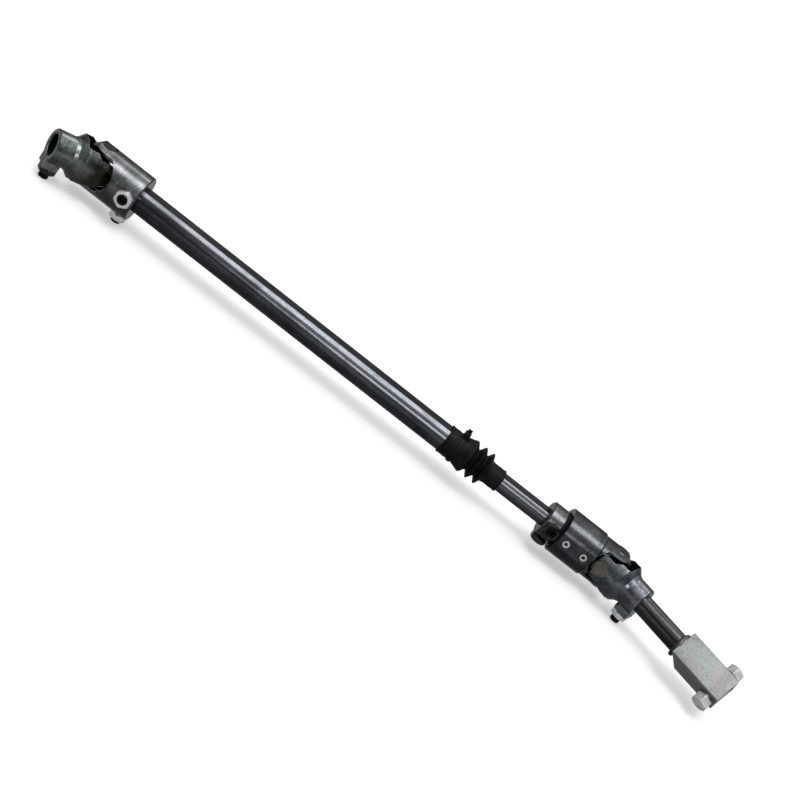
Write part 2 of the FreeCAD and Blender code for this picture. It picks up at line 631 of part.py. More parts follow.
def assembly():
    """Every node in the design frame by name, and the axes of the two end yokes."""
    nodes = main_shaft_nodes()
    upper_axis = V(-math.cos(math.radians(UPPER_BEND)), -math.sin(math.radians(UPPER_BEND)), 0)
    lower_axis = V(math.cos(math.radians(LOWER_BEND)), -math.sin(math.radians(LOWER_BEND)), 0)
    lower_centre = V(LOWER_JOINT, 0, 0)

    upper = end_yoke_nodes("upper_yoke", splined_bore(), SPLINE_LAND_RADIUS + SPLINE_DEPTH)
    upper["upper_cross"] = cross()
    upper["upper_cross_seals"] = cross_seals()
    for name, shape in upper.items():
        nodes[name] = placed(shape, V(0, 0, 0), upper_axis, Z)

    lower = end_yoke_nodes("lower_yoke", rod(STUB_RADIUS, 0, FORGED_LENGTH + OVERRUN), STUB_RADIUS)
    lower["lower_cross"] = cross()
    lower["lower_cross_seals"] = cross_seals()
    lower["stub_shaft"] = stub_shaft()
    leaning = {"column_coupler": column_coupler(), "coupler_clamp_bolts": clamp_bolts(),
               "coupler_lock_washers": clamp_washers()}
    for name, shape in leaning.items():
        lower[name] = placed(shape, V(0, 0, 0), X, coupler_turn())
    for name, shape in lower.items():
        nodes[name] = placed(shape, lower_centre, lower_axis, Z)
    return nodes, lower_axis, upper_axis


def main():
    """Writes one STEP file for each node and prints what the model measures."""
    os.makedirs("parts", exist_ok=True)
    nodes, lower_axis, upper_axis = assembly()
    box = group(list(nodes.values())).BoundBox
    shift = V(-round(box.Center.x, 1), -round(box.Center.y, 1), STAND_HEIGHT)
    for name, shape in nodes.items():
        shape.translated(shift).exportStep("parts/" + name + ".step")
        state = "valid" if shape.isValid() else "NOT VALID"
        print(name, len(shape.Solids), "solids", state, round(shape.Volume), "mm3")
    print("upper joint centre", shift)
    print("lower joint centre", shift + V(LOWER_JOINT, 0, 0))
    print("upper axis", upper_axis, "lower axis", lower_axis)
    print("size", box.XLength, box.YLength, box.ZLength, "lowest", box.ZMin)


main()
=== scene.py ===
import bmesh
import bpy
import json
import math
from mathutils import Matrix, Vector


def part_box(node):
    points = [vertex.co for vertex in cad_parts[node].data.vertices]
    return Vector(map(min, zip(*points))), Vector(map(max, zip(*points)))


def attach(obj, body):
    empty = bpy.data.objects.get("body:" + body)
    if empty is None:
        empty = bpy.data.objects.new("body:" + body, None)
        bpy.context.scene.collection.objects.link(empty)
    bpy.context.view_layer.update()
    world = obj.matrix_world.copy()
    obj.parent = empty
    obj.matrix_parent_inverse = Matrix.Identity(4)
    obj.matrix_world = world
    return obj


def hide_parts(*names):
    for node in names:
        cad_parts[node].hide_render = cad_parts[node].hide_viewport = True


# The looks of a telescoping steering shaft with a universal joint at each end. Lengths in this
# script are millimetres unless a name says otherwise; MM turns them into the frame's metres.

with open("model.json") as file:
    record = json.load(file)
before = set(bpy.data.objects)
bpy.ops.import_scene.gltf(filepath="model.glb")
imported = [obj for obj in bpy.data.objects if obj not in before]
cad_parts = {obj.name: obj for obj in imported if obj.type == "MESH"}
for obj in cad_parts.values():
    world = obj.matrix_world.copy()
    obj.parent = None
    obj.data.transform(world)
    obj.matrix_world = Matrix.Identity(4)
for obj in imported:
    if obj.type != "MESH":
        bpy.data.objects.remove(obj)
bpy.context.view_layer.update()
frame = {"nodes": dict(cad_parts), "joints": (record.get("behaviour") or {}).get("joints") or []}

MM = 0.001
X, Y, Z = Vector((1, 0, 0)), Vector((0, 1, 0)), Vector((0, 0, 1))

# ---- places read from the frame ---------------------------------------------------------------
JOINTS = {joint["name"]: joint for joint in frame["joints"]}
UPPER = Vector(JOINTS["upper_joint_swing"]["pos_m"])
LOWER = Vector(JOINTS["lower_joint_swing"]["pos_m"])
UPPER_PINS = Vector(JOINTS["upper_joint_nod"]["axis"])
LOWER_PINS = Vector(JOINTS["lower_joint_nod"]["axis"])
UPPER_AXIS = UPPER_PINS.cross(Z)
LOWER_AXIS = Z.cross(LOWER_PINS)
UPPER_TURN = math.atan2(UPPER_AXIS.y, UPPER_AXIS.x)
LOWER_TURN = math.atan2(LOWER_AXIS.y, LOWER_AXIS.x)

# ---- sizes that the drawn parts share with the frame ------------------------------------------
TUBE_RADIUS, TUBE_FLAT = 12.7, 10.75
SHAFT_RADIUS, SHAFT_FLAT = 9.525, 7.0
STUB_RADIUS = 9.525
SCREW_RADIUS = 4.74
THREAD_PITCH = 1.59
THREAD_DEPTH = 0.62
SOCKET_FLATS = 4.76
SOCKET_DEPTH = 5.0
SCREW_END_BEVEL = 0.7
SOCKET_LIP = 0.02
SOCKET_POINT = 1.0
SCREW_SHARP_DEG = 40
TUBE_SCREW_STATION = 38.0
TUBE_SCREW_REACH = 28.2
YOKE_SCREW_STATION = 36.0
HUB_SCREW_STATION = 503.2
HUB_SCREW_REACH = 22.6
SPLINE_ROOT_RADIUS = 10.4
COUPLER_START = 93.0
COUPLER_WIDTH = 28.0
COUPLER_DEPTH = 22.0
COUPLER_LEAN = math.radians(45.0)


# ---- node graphs ------------------------------------------------------------------------------
# the colour sockets of a Mix node, which share their names with its sockets for numbers
MIX_FIRST, MIX_SECOND, MIX_RESULT = 6, 7, 2
BEVEL_SAMPLES = 6
# cosine between the rounded and the true normal: off an edge, and on one
EDGE_NONE, EDGE_FULL = 0.995, 0.90


class Graph:
    """One material's nodes, with a short call for each kind of node."""

    def __init__(self, name):
        self.material = bpy.data.materials.new(name)
        self.material.use_nodes = True
        self.tree = self.material.node_tree
        self.shader = self.tree.nodes["Principled BSDF"]
        self.place = self.add("ShaderNodeTexCoord").outputs["Object"]

    def add(self, kind, **settings):
        node = self.tree.nodes.new(kind)
        for name, value in settings.items():
            setattr(node, name, value)
        return node

    def feed(self, socket, source):
        """Links a socket to another node's output, or sets it to a number or a colour."""
        if isinstance(source, bpy.types.NodeSocket):
            self.tree.links.new(source, socket)
        elif isinstance(source, tuple) and len(source) == 3 and socket.type == "RGBA":
            socket.default_value = (*source, 1.0)
        else:
            socket.default_value = source

    def stretched(self, scale, turn=0.0):
        """Object coordinates turned about Z to lie along a part, then stretched."""
        turned = self.add("ShaderNodeMapping", vector_type="POINT")
        self.feed(turned.inputs["Vector"], self.place)
        turned.inputs["Rotation"].default_value = (0, 0, -turn)
        scaled = self.add("ShaderNodeMapping", vector_type="POINT")
        self.feed(scaled.inputs["Vector"], turned.outputs["Vector"])
        scaled.inputs["Scale"].default_value = scale
        return scaled.outputs["Vector"]

    def noise(self, vector, scale, detail=3.0, roughness=0.55, distortion=0.0):
        node = self.add("ShaderNodeTexNoise")
        self.feed(node.inputs["Vector"], vector)
        for name, value in (("Scale", scale), ("Detail", detail), ("Roughness", roughness),
                            ("Distortion", distortion)):
            node.inputs[name].default_value = value
        return node.outputs["Fac"]

    def cells(self, vector, scale):
        node = self.add("ShaderNodeTexVoronoi")
        self.feed(node.inputs["Vector"], vector)
        node.inputs["Scale"].default_value = scale
        return node.outputs["Distance"]

    def span(self, source, low, high, to_low=0.0, to_high=1.0):
        """The source's stretch from low to high, eased, as a value from to_low to to_high."""
        node = self.add("ShaderNodeMapRange", interpolation_type="SMOOTHSTEP")
        self.feed(node.inputs["Value"], source)
        ends = {"From Min": low, "From Max": high, "To Min": to_low, "To Max": to_high}
        for name, value in ends.items():
            node.inputs[name].default_value = value
        return node.outputs["Result"]

    def math(self, operation, first, second):
        node = self.add("ShaderNodeMath", operation=operation)
        self.feed(node.inputs[0], first)
        self.feed(node.inputs[1], second)
        return node.outputs["Value"]

    def mix(self, factor, first, second):
        node = self.add("ShaderNodeMix", data_type="RGBA")
        self.feed(node.inputs["Factor"], factor)
        self.feed(node.inputs[MIX_FIRST], first)
        self.feed(node.inputs[MIX_SECOND], second)
        return node.outputs[MIX_RESULT]

    def tinted(self, colour, tint):
        """A colour multiplied by a tint."""
        node = self.add("ShaderNodeMix", data_type="RGBA", blend_type="MULTIPLY")
        node.inputs["Factor"].default_value = 1.0
        self.feed(node.inputs[MIX_FIRST], colour)
        self.feed(node.inputs[MIX_SECOND], tint)
        return node.outputs[MIX_RESULT]

    def near(self, point, inner, outer):
        """One within inner metres of a point of the frame, easing to zero at outer."""
        node = self.add("ShaderNodeVectorMath", operation="DISTANCE")
        self.feed(node.inputs[0], self.place)
        node.inputs[1].default_value = point
        return self.span(node.outputs["Value"], outer, inner)

    def bump(self, height, distance, normal=None):
        node = self.add("ShaderNodeBump")
        node.inputs["Distance"].default_value = distance
        self.feed(node.inputs["Height"], height)
        if normal is not None:
            self.feed(node.inputs["Normal"], normal)
        return node.outputs["Normal"]

    def rounded(self, radius):
        """The normal with hard edges rounded off, and how much of an edge each point is."""
        bevel = self.add("ShaderNodeBevel", samples=BEVEL_SAMPLES)
        bevel.inputs["Radius"].default_value = radius
        flat = self.add("ShaderNodeNewGeometry")
        dot = self.add("ShaderNodeVectorMath", operation="DOT_PRODUCT")
        self.feed(dot.inputs[0], bevel.outputs["Normal"])
        self.feed(dot.inputs[1], flat.outputs["Normal"])
        edge = self.span(dot.outputs["Value"], EDGE_NONE, EDGE_FULL)
        return bevel.outputs["Normal"], edge


# ---- materials --------------------------------------------------------------------------------
# how fine the marks of each kind of working are along, across and up the part
DRAWN = (8.0, 700.0, 700.0)
TURNED = (1500.0, 25.0, 25.0)
FORGED = (330.0, 330.0, 330.0)
BLASTED = (900.0, 900.0, 900.0)
# blotches on drawn bar are longer along it
DRAWN_SMEAR = 0.12
# noise scales, from the broadest to the finest
STAIN_SCALE = 28.0
HUE_SCALE = 42.0
BLOTCH_SCALE = 55.0
WEAR_SCALE = 420.0
MOTTLE_SCALE = 480.0
SPECK_SCALE = 1300.0
COOL, WARM = (0.95, 1.015, 1.02), (1.03, 0.985, 1.015)
SPECK_DIM = 0.40
# how much of the edge colour goes on edges: rubbed wear, and on the upper yoke's cups a painted glint
EDGE_WEAR_AND_GLINT_SHARE = 0.6
WORN_POLISH = 0.12
# how far painted shade round a joint is full, and where it has faded out
JOINT_SHADE_FULL_M, JOINT_SHADE_END_M = 0.015, 0.026
STEEL_EDGE_M, SOFT_EDGE_M = 0.0005, 0.0004


def steel(name, dark, light, rough, grain, turn=0.0, depth=0.00004, edge=(0.4, 0.4, 0.4),
          stain=None, stain_share=0.0, speck=0.5, joint_shade=None, metallic=1.0):
    """Worked steel: grain, blotches, specks, stains, and edges rubbed brighter; where the edge colour
    is far lighter than the steel, the bright edges are a painted glint.

    A joint's centre, a colour and a share paint shade round that joint, darkening the part there.
    """
    graph = Graph(name)
    lie = graph.stretched((1, 1, 1), turn)
    fine = graph.noise(graph.stretched(grain, turn), 1.0, 4.0, 0.6)
    smear = DRAWN_SMEAR if grain == DRAWN else 1.0
    blotch = graph.noise(graph.stretched((smear, 1, 1), turn), BLOTCH_SCALE, 5.0, 0.6, 0.4)
    specks = graph.noise(lie, SPECK_SCALE, 2.0, 0.5)
    normal, border = graph.rounded(STEEL_EDGE_M)

    tone = graph.math("ADD", graph.math("MULTIPLY", blotch, 0.6), graph.math("MULTIPLY", fine, 0.4))
    colour = graph.mix(graph.span(tone, 0.34, 0.66), dark, light)
    hue = graph.noise(lie, HUE_SCALE, 4.0, 0.6, 0.5)
    cool, warm = graph.tinted(colour, COOL), graph.tinted(colour, WARM)
    colour = graph.mix(graph.span(hue, 0.42, 0.58), cool, warm)
    mottle = graph.noise(lie, MOTTLE_SCALE, 3.0, 0.7)
    dim = tuple(SPECK_DIM * part for part in dark)
    colour = graph.mix(graph.span(mottle, 0.50, 0.70, 0.0, speck), colour, dim)
    colour = graph.mix(graph.span(specks, 0.58, 0.72, 0.0, speck), colour, dim)
    if stain:
        patches = graph.noise(lie, STAIN_SCALE, 6.0, 0.62, 0.8)
        colour = graph.mix(graph.span(patches, 0.46, 0.64, 0.0, stain_share), colour, stain)
    # painted shade: the part darkens towards its joint's centre, blotchy at the edge of the patch
    if joint_shade:
        centre, joint_shade_colour, share = joint_shade
        reach = graph.near(centre, JOINT_SHADE_FULL_M, JOINT_SHADE_END_M)
        joint_shade_film = graph.math("MULTIPLY", reach, graph.span(blotch, 0.30, 0.50, 0.6, 1.0))
        colour = graph.mix(graph.math("MULTIPLY", joint_shade_film, share), colour, joint_shade_colour)
    # edges lightened towards the edge colour: rubbed wear, and on the upper yoke's cups a painted
    # glint
    rubs = graph.span(graph.noise(lie, WEAR_SCALE, 3.0), 0.36, 0.62, 0.15, 1.0)
    edge_wear_and_glint = graph.math("MULTIPLY", graph.math("MULTIPLY", border, rubs), EDGE_WEAR_AND_GLINT_SHARE)
    colour = graph.mix(edge_wear_and_glint, colour, edge)

    rubbed = graph.math("SUBTRACT", graph.span(tone, 0.30, 0.70, rough[0], rough[1]),
                        graph.math("MULTIPLY", edge_wear_and_glint, WORN_POLISH))
    height = graph.math("ADD", fine, graph.math("MULTIPLY", specks, 0.35))
    graph.feed(graph.shader.inputs["Base Color"], colour)
    graph.feed(graph.shader.inputs["Roughness"], rubbed)
    graph.feed(graph.shader.inputs["Normal"], graph.bump(height, depth, normal))
    graph.shader.inputs["Metallic"].default_value = metallic
    return graph.material


RUBBER_GRAIN_SCALE, DUST_SCALE = 1500.0, 90.0
SCRATCHES = (60.0, 900.0, 500.0)
RUBBER_SCUFF = 0.35
RUBBER_GRAIN_M = 0.00006
RUBBER_SHINE = 0.1


def rubber(name, dark, light, rough):
    """Moulded black rubber: matt, faintly dusty, with a fine grain and pale scuffs."""
    graph = Graph(name)
    lie = graph.stretched((1, 1, 1))
    grain = graph.noise(lie, RUBBER_GRAIN_SCALE, 3.0, 0.6)
    dust = graph.noise(lie, DUST_SCALE, 5.0, 0.65, 0.5)
    scratches = graph.noise(graph.stretched(SCRATCHES), 1.0, 3.0, 0.6)
    normal, border = graph.rounded(SOFT_EDGE_M)
    colour = graph.mix(graph.span(dust, 0.38, 0.70), dark, light)
    pale = tuple(min(1.0, 2.4 * part) for part in light)
    marks = graph.math("MULTIPLY", graph.span(scratches, 0.60, 0.72), RUBBER_SCUFF)
    colour = graph.mix(marks, colour, pale)
    colour = graph.mix(graph.math("MULTIPLY", border, 0.25), colour, pale)
    graph.feed(graph.shader.inputs["Base Color"], colour)
    graph.feed(graph.shader.inputs["Roughness"], graph.span(dust, 0.3, 0.7, rough[0], rough[1]))
    height = graph.math("ADD", grain, graph.math("MULTIPLY", scratches, 0.4))
    graph.feed(graph.shader.inputs["Normal"], graph.bump(height, RUBBER_GRAIN_M, normal))
    graph.shader.inputs["Specular IOR Level"].default_value = RUBBER_SHINE
    return graph.material


CRYSTAL_SCALE, CLOUD_SCALE, PIT_SCALE = 1100.0, 160.0, 1700.0
PLATE_METALLIC = 0.7
PLATE_GRAIN_M = 0.00003
PLATE_EDGE = (0.9, 0.9, 0.9)


def plated(name, light, dim, rough):
    """Bright zinc plate: mottled by its crystals, with greyer patches and tiny pits."""
    graph = Graph(name)
    lie = graph.stretched((1, 1, 1))
    crystals = graph.cells(lie, CRYSTAL_SCALE)
    cloud = graph.noise(lie, CLOUD_SCALE, 5.0, 0.6, 0.6)
    pits = graph.noise(lie, PIT_SCALE, 2.0, 0.5)
    normal, border = graph.rounded(SOFT_EDGE_M)
    colour = graph.mix(graph.span(cloud, 0.36, 0.66), light, dim)
    colour = graph.mix(graph.span(crystals, 0.25, 0.75, 0.0, 0.25), colour, dim)
    grey = tuple(0.35 * part for part in dim)
    colour = graph.mix(graph.span(pits, 0.64, 0.76, 0.0, 0.6), colour, grey)
    colour = graph.mix(graph.math("MULTIPLY", border, 0.35), colour, PLATE_EDGE)
    graph.feed(graph.shader.inputs["Base Color"], colour)
    graph.feed(graph.shader.inputs["Roughness"], graph.span(cloud, 0.3, 0.7, rough[0], rough[1]))
    raised = graph.math("MULTIPLY", crystals, 0.5)
    height = graph.math("SUBTRACT", raised, graph.math("MULTIPLY", pits, 0.5))
    graph.feed(graph.shader.inputs["Normal"], graph.bump(height, PLATE_GRAIN_M, normal))
    graph.shader.inputs["Metallic"].default_value = PLATE_METALLIC
    return graph.material


BLACK = {"dark": (0.008, 0.008, 0.009), "light": (0.022, 0.022, 0.022)}
BROWN = (0.060, 0.036, 0.022)


def finishes():
    """Every material of the shaft, under the name of the node that it is made for."""
    made = {
        "outer_tube": steel(
            "tube_drawn_steel", (0.066, 0.070, 0.078), (0.150, 0.155, 0.166), (0.14, 0.26), DRAWN,
            depth=0.00003, stain=(0.030, 0.028, 0.030), stain_share=0.5),
        "tube_yoke": steel(
            "tube_yoke_turned_steel", (0.100, 0.102, 0.106), (0.230, 0.232, 0.238), (0.17, 0.30),
            TURNED, depth=0.00004, stain=(0.052, 0.058, 0.054), stain_share=0.55),
        "inner_shaft": steel(
            "inner_shaft_steel", (0.080, 0.081, 0.088), (0.170, 0.172, 0.180), (0.14, 0.24), DRAWN,
            depth=0.00003),
        "stub_shaft": steel(
            "stub_oiled_bar", (0.048, 0.048, 0.050), (0.120, 0.120, 0.122), (0.13, 0.22), DRAWN,
            LOWER_TURN, 0.00003, stain=BROWN, stain_share=0.25),
        # the upper yoke is darkened almost to black round its joint: painted shade
        "upper_yoke": steel(
            "upper_yoke_phosphate", (0.110, 0.122, 0.118), (0.280, 0.298, 0.284), (0.18, 0.34),
            FORGED, UPPER_TURN, 0.00008, stain=(0.045, 0.034, 0.026), stain_share=0.7,
            joint_shade=(UPPER, (0.020, 0.015, 0.011), 0.9)),
        # the lower yoke gets a lighter, browner painted shade round its joint
        "lower_yoke": steel(
            "lower_yoke_blued", (0.112, 0.123, 0.140), (0.290, 0.308, 0.336), (0.17, 0.31), FORGED,
            LOWER_TURN, 0.00007, stain=(0.040, 0.040, 0.042), stain_share=0.4,
            joint_shade=(LOWER, (0.062, 0.054, 0.042), 0.35)),
        "damper_hub": steel(
            "hub_machined_steel", (0.080, 0.080, 0.082), (0.190, 0.190, 0.192), (0.22, 0.36),
            BLASTED, depth=0.00005, speck=0.7),
        "damper_yoke": steel(
            "housing_gunmetal", (0.044, 0.044, 0.048), (0.112, 0.113, 0.120), (0.13, 0.23), TURNED,
            depth=0.00002, stain=(0.030, 0.029, 0.028), stain_share=0.35, speck=0.6),
        "column_coupler": steel(
            "coupler_zinc_plate", (0.160, 0.160, 0.159), (0.240, 0.240, 0.237), (0.34, 0.48),
            BLASTED, LOWER_TURN, 0.00007, edge=(0.45, 0.45, 0.45), stain=(0.122, 0.119, 0.113),
            stain_share=0.45, speck=0.60, metallic=0.7),
        "damper_rubber": rubber(
            "damper_rubber_sleeve", (0.004, 0.004, 0.004), (0.010, 0.010, 0.010), (0.45, 0.65)),
        "boot": rubber(
            "boot_moulded_rubber", (0.003, 0.003, 0.003), (0.007, 0.007, 0.007), (0.34, 0.54)),
        "boot_tie": rubber(
            "tie_black_nylon", (0.003, 0.003, 0.003), (0.007, 0.007, 0.007), (0.28, 0.42)),
        "upper_cross_seals": rubber(
            "seal_rubber", (0.004, 0.004, 0.004), (0.012, 0.012, 0.012), (0.45, 0.65)),
        "tube_yoke_jam_nuts": plated(
            "nut_bright_zinc", (0.86, 0.87, 0.88), (0.55, 0.56, 0.58), (0.16, 0.32)),
        "damper_pins": plated(
            "pin_bright_plate", (0.80, 0.80, 0.82), (0.50, 0.50, 0.52), (0.18, 0.30)),
        "coupler_clamp_bolts": plated(
            "bolt_bright_zinc", (0.80, 0.80, 0.81), (0.50, 0.50, 0.52), (0.20, 0.36)),
        # the lock washers: plated like the bolts, but far darker
        "coupler_lock_washers": plated(
            "washer_dark_plate", (0.16, 0.16, 0.16), (0.09, 0.09, 0.09), (0.30, 0.45)),
        "dark_nut": steel(
            "nut_dark_plate", (0.028, 0.027, 0.026), (0.085, 0.083, 0.080), (0.20, 0.34), BLASTED,
            edge=(0.30, 0.29, 0.28)),
        "screw": steel(
            "screw_black_oxide", grain=BLASTED, rough=(0.26, 0.40), edge=(0.08, 0.08, 0.08),
            **BLACK),
        "cross": steel(
            "cross_ground_steel", (0.085, 0.082, 0.080), (0.190, 0.187, 0.182), (0.20, 0.36),
            FORGED, stain=BROWN, stain_share=0.5),
        "cups": steel(
            "cup_drawn_steel", (0.155, 0.138, 0.110), (0.345, 0.312, 0.256), (0.24, 0.40), BLASTED,
            stain=(0.085, 0.064, 0.042), stain_share=0.6, edge=(0.40, 0.37, 0.32)),
        # the upper yoke's cups: a darker copy of the cups' steel, which is painted shade, with an
        # edge colour far lighter than the cup, a painted glint on their rims
        "dark_cups": steel(
            "cup_shaded_steel", (0.042, 0.034, 0.028), (0.115, 0.096, 0.080), (0.24, 0.38), BLASTED,
            stain=(0.030, 0.018, 0.012), stain_share=0.7, edge=(0.60, 0.58, 0.55)),
        "needles": steel(
            "needle_bearing_steel", (0.45, 0.45, 0.46), (0.66, 0.66, 0.67), (0.10, 0.20), DRAWN,
            depth=0.00001),
        "weld": steel(
            "weld_bead_steel", (0.040, 0.038, 0.036), (0.190, 0.186, 0.180), (0.20, 0.38), FORGED,
            LOWER_TURN, 0.00006, stain=BROWN, stain_share=0.6),
    }
    same = {
        "upper_cross": "cross", "lower_cross": "cross",
        "lower_cross_seals": "upper_cross_seals",
        "damper_hub_jam_nuts": "dark_nut", "upper_yoke_jam_nut": "dark_nut",
        "lower_yoke_jam_nut": "tube_yoke_jam_nuts",
        "tube_yoke_bearing_cups": "cross", "upper_yoke_bearing_cups": "dark_cups",
        "damper_yoke_bearing_cups": "cross", "lower_yoke_bearing_cups": "cups",
        "tube_yoke_needles": "needles", "upper_yoke_needles": "needles",
        "damper_yoke_needles": "needles", "lower_yoke_needles": "needles",
        "tube_yoke_set_screws": "screw", "upper_yoke_set_screw": "screw",
        "damper_hub_set_screws": "screw", "lower_yoke_set_screw": "screw",
    }
    made.update({node: made[other] for node, other in same.items()})
    return made


FINISHES = finishes()


def paint_frame():
    """Gives every node of the frame its material."""
    for name, node in frame["nodes"].items():
        for slot in node.material_slots:
            slot.material = FINISHES[name]


# ---- meshes -----------------------------------------------------------------------------------
def piece(name, points, faces, material):
    """A new, smooth-shaded object from points in millimetres."""
    mesh = bpy.data.meshes.new(name)
    mesh.from_pydata([Vector(p) * MM for p in points], [], faces)
    mesh.materials.append(material)
    mesh.validate()
    mesh.update()
    mesh.shade_smooth()
    made = bpy.data.objects.new(name, mesh)
    bpy.context.scene.collection.objects.link(made)
    return made


def move_to(made, origin, x_dir, y_dir):
    """Puts a piece drawn along X into the frame, at origin and with these directions."""
    z_dir = x_dir.cross(y_dir)
    turn = Matrix((x_dir, y_dir, z_dir)).transposed().to_4x4()
    made.data.transform(Matrix.Translation(origin) @ turn)
    made.data.update()


def skin(rings, closed_along=False):
    """Quads between one ring of points and the next; every ring has as many points."""
    points = [point for ring in rings for point in ring]
    count = len(rings[0])
    last = len(rings) if closed_along else len(rings) - 1
    faces = []
    for row in range(last):
        here, there = row * count, (row + 1) % len(rings) * count
        for i in range(count):
            j = (i + 1) % count
            faces.append((here + i, here + j, there + j, there + i))
    return points, faces


def capped(points, faces, centre, ring_start, count, flip):
    """Closes a ring by adding a fan of triangles round its centre to points and faces."""
    points.append(centre)
    middle = len(points) - 1
    for i in range(count):
        a, b = ring_start + i, ring_start + (i + 1) % count
        faces.append((middle, b, a) if flip else (middle, a, b))


# ---- set screws with real threads -------------------------------------------------------------
SCREW_SIDES = 48
STEPS_PER_TURN = 8


def thread_ring(x, inner, outer):
    """One ring of a threaded bar along X; the ends run out to a bevel."""
    from_end = min(x - inner, outer - x)
    limit = SCREW_RADIUS - max(0.0, SCREW_END_BEVEL - from_end)
    ring = []
    for i in range(SCREW_SIDES):
        share = i / SCREW_SIDES
        wave = abs((x / THREAD_PITCH - share) % 1.0 - 0.5) * 2
        radius = min(limit, SCREW_RADIUS - THREAD_DEPTH * wave)
        angle = 2 * math.pi * share
        ring.append(Vector((x, radius * math.cos(angle), radius * math.sin(angle))))
    return ring


def socket_ring(x):
    """A hexagon with as many points as a ring of the screw."""
    ring = []
    for i in range(SCREW_SIDES):
        angle = 2 * math.pi * i / SCREW_SIDES
        off = (angle + math.pi / 6) % (math.pi / 3) - math.pi / 6
        radius = SOCKET_FLATS / 2 / math.cos(off)
        ring.append(Vector((x, radius * math.cos(angle), radius * math.sin(angle))))
    return ring


def set_screw(name, node, body, centre, direction, inner, outer):
    """A socket set screw whose socket is in its outer end."""
    length = outer - inner
    steps = round(length / THREAD_PITCH * STEPS_PER_TURN)
    rings = [thread_ring(inner + length * i / steps, inner, outer) for i in range(steps + 1)]
    rings += [socket_ring(outer - SOCKET_LIP), socket_ring(outer - SOCKET_DEPTH)]
    points, faces = skin(rings)
    last = (len(rings) - 1) * SCREW_SIDES
    bottom = Vector((outer - SOCKET_DEPTH - SOCKET_POINT, 0, 0))
    capped(points, faces, bottom, last, SCREW_SIDES, False)
    capped(points, faces, Vector((inner, 0, 0)), 0, SCREW_SIDES, True)
    made = piece(name, points, faces, FINISHES["screw"])
    side = Y if abs(direction.z) > 0.5 else Z
    move_to(made, centre, direction, side)
    made.data.set_sharp_from_angle(angle=math.radians(SCREW_SHARP_DEG))
    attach(made, body)
    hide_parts(node)


def set_screws():
    """The six screws, from the bar that each one bears on to its outer end."""
    yoke_at = UPPER + X * TUBE_SCREW_STATION * MM
    hub_at = UPPER + X * HUB_SCREW_STATION * MM
    upper_at = UPPER + UPPER_AXIS * YOKE_SCREW_STATION * MM
    lower_at = LOWER + LOWER_AXIS * YOKE_SCREW_STATION * MM
    stand = UPPER.z / MM
    set_screw("tube_yoke_screw_front", "tube_yoke_set_screws", "tube",
              yoke_at, -Y, TUBE_RADIUS, TUBE_SCREW_REACH)
    set_screw("tube_yoke_screw_below", "tube_yoke_set_screws", "tube",
              yoke_at, -Z, TUBE_FLAT, stand)
    set_screw("upper_yoke_screw", "upper_yoke_set_screw", "upper_yoke",
              upper_at, -Z, SPLINE_ROOT_RADIUS, stand)
    set_screw("hub_screw_front", "damper_hub_set_screws", "inner_shaft",
              hub_at, -Y, SHAFT_RADIUS, HUB_SCREW_REACH)
    set_screw("hub_screw_below", "damper_hub_set_screws", "inner_shaft",
              hub_at, -Z, SHAFT_FLAT, HUB_SCREW_REACH)
    set_screw("lower_yoke_screw", "lower_yoke_set_screw", "lower_yoke",
              lower_at, -Z, STUB_RADIUS, stand)


# ---- boot -------------------------------------------------------------------------------------
BOOT_SIDES = 120
BOOT_WALL = 1.05
BOOT_SHARP_DEG = 60
OUTLINE_PASSES = 2
OUTLINE_CUT = 0.25
DOUBLE_D_CORNER = 0.5
# outline of the outside: distance along the boot, radius, half height between the flats
BOOT_OUTLINE = [
    (0.0, 14.0, 12.05), (1.6, 14.05, 12.1), (2.2, 13.75, 11.8), (6.5, 13.72, 11.78),
    (7.1, 13.95, 12.0), (8.3, 13.95, 12.0), (8.9, 13.72, 11.78), (11.2, 13.7, 11.76),
    (16.2, 13.7, 11.76), (16.9, 13.95, 12.05), (18.2, 14.0, 13.2), (22.0, 15.2, 15.2),
    (25.4, 16.45, 16.45), (26.6, 16.5, 16.5), (27.4, 15.9, 15.9), (30.4, 11.2, 11.2),
    (31.2, 10.95, 10.95), (32.0, 11.5, 11.5), (34.9, 16.2, 16.2), (35.6, 16.5, 16.5),
    (36.4, 16.0, 16.0), (39.4, 11.2, 11.2), (40.1, 10.95, 10.95), (40.8, 11.5, 11.5),
    (43.5, 16.0, 16.0), (44.2, 16.4, 16.4), (44.8, 15.9, 15.9), (46.5, 11.9, 11.7),
    (47.2, 11.1, 10.1), (48.8, 10.9, 8.7), (51.0, 10.8, 8.32), (55.4, 10.8, 8.3),
    (56.0, 11.05, 8.55), (57.2, 11.05, 8.55), (57.8, 10.8, 8.3), (60.7, 10.8, 8.3),
    (61.3, 11.1, 8.6), (62.8, 11.05, 8.55),
]


def eased_outline(points):
    """The outline with its corners cut, so that folds come out round."""
    near, far = 1 - OUTLINE_CUT, OUTLINE_CUT
    for _ in range(OUTLINE_PASSES):
        cut = [points[0]]
        for a, b in zip(points, points[1:]):
            cut.append(tuple(near * p + far * q for p, q in zip(a, b)))
            cut.append(tuple(far * p + near * q for p, q in zip(a, b)))
        points = cut + [points[-1]]
    return points


def double_d_ring(x, radius, half_height, sides, corner=DOUBLE_D_CORNER):
    """A circle whose top and bottom are flattened, with soft corners, round X."""
    ring = []
    for i in range(sides):
        angle = 2 * math.pi * i / sides
        y, z = radius * math.cos(angle), radius * math.sin(angle)
        over = abs(z) - half_height
        held = abs(z) - (over + math.sqrt(over * over + corner * corner)) / 2 + corner / 2
        if half_height >= radius - corner:
            held = abs(z)
        ring.append(Vector((x, y, math.copysign(held, z))))
    return ring


